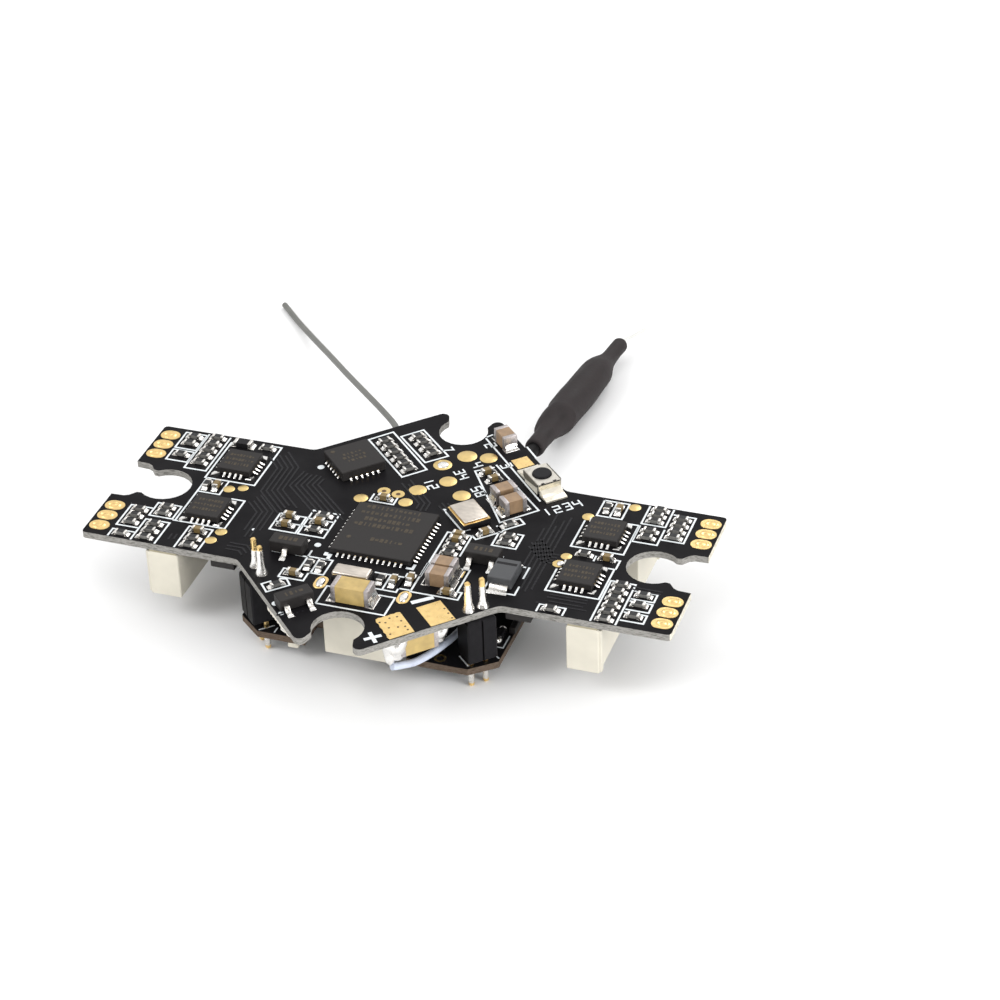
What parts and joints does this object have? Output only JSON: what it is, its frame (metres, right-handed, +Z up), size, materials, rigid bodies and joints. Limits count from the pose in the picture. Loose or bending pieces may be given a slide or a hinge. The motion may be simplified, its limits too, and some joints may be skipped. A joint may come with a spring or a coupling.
{
  "type": "flight controller board",
  "caption": "Palm-sized quadcopter flight controller: a black circuit board with motor arms and edge notches, a video transmitter board below it on header pins, and wire antennas.",
  "frame": {"origin": "on the ground under the middle of the board, where the header pins and the shield can stand", "axes": "+X along the motor arms to the right, +Y from the camera end to the tail, +Z up"},
  "size_m": [0.0538, 0.0643, 0.01],
  "materials": {
    "circuit_board": "satin",
    "chip_plastic": "matte",
    "black_plastic": "satin",
    "grey_plastic": "satin",
    "cream_plastic": "satin",
    "tan_ceramic": "satin",
    "brown_ceramic": "satin",
    "steel": "brushed",
    "tinned_metal": "satin",
    "gold_pin": "satin",
    "heat_shrink": "matte",
    "grey_jacket": "satin",
    "clear_jacket": "gloss"
  },
  "bodies": {
    "board": {"antenna_sleeve": "heat_shrink", "button_base": "grey_plastic", "button_cover": "steel", "button_dome": "steel", "button_terminal_back": "tinned_metal", "button_terminal_front": "tinned_metal", "camera_socket": "cream_plastic", "capacitor_core_1": "brown_ceramic", "capacitor_core_2": "brown_ceramic", "capacitor_input_below": "tan_ceramic", "capacitor_input_top": "tan_ceramic", "capacitor_tail": "brown_ceramic", "capacitor_video_1": "brown_ceramic", "capacitor_video_2": "brown_ceramic", "crystal_clock": "steel", "crystal_main": "steel", "display_chip": "chip_plastic", "header_pin_left_1": "gold_pin", "header_pin_left_2": "gold_pin", "header_pin_right_1": "gold_pin", "header_pin_right_2": "gold_pin", "header_strip_left": "black_plastic", "header_strip_right": "black_plastic", "main_board": "circuit_board", "motion_sensor_chip": "chip_plastic", "motor_driver_back_left": "chip_plastic", "motor_driver_back_right": "chip_plastic", "motor_driver_front_left": "chip_plastic", "motor_driver_front_right": "chip_plastic", "motor_socket_back_left": "cream_plastic", "motor_socket_back_right": "cream_plastic", "motor_socket_front_left": "cream_plastic", "motor_socket_front_right": "cream_plastic", "power_diode": "chip_plastic", "power_jumper_wire": "clear_jacket", "power_transistor_back_left_1": "chip_plastic", "power_transistor_back_left_2": "chip_plastic", "power_transistor_back_left_3": "chip_plastic", "power_transistor_back_right_1": "chip_plastic", "power_transistor_back_right_2": "chip_plastic", "power_transistor_back_right_3": "chip_plastic", "power_transistor_front_left_1": "chip_plastic", "power_transistor_front_left_2": "chip_plastic", "power_transistor_front_left_3": "chip_plastic", "power_transistor_front_right_1": "chip_plastic", "power_transistor_front_right_2": "chip_plastic", "power_transistor_front_right_3": "chip_plastic", "processor_chip": "chip_plastic", "receiver_antenna": "grey_jacket", "receiver_chip": "chip_plastic", "regulator_left": "chip_plastic", "regulator_right": "chip_plastic", "shield_can": "steel", "transistor_front": "chip_plastic", "transmitter_board": "circuit_board", "transmitter_chip": "chip_plastic", "usb_socket": "steel", "video_antenna_coax": "heat_shrink", "video_antenna_element": "grey_jacket"},
    "plunger": {"button_plunger": "black_plastic"}
  },
  "joints": [
    {"name": "button_press", "type": "slide", "parent": "board", "child": "plunger", "axis": [0, 0, -1], "range_m": [0, 0.00018], "stiffness_N_per_m": 8000}
  ]
}
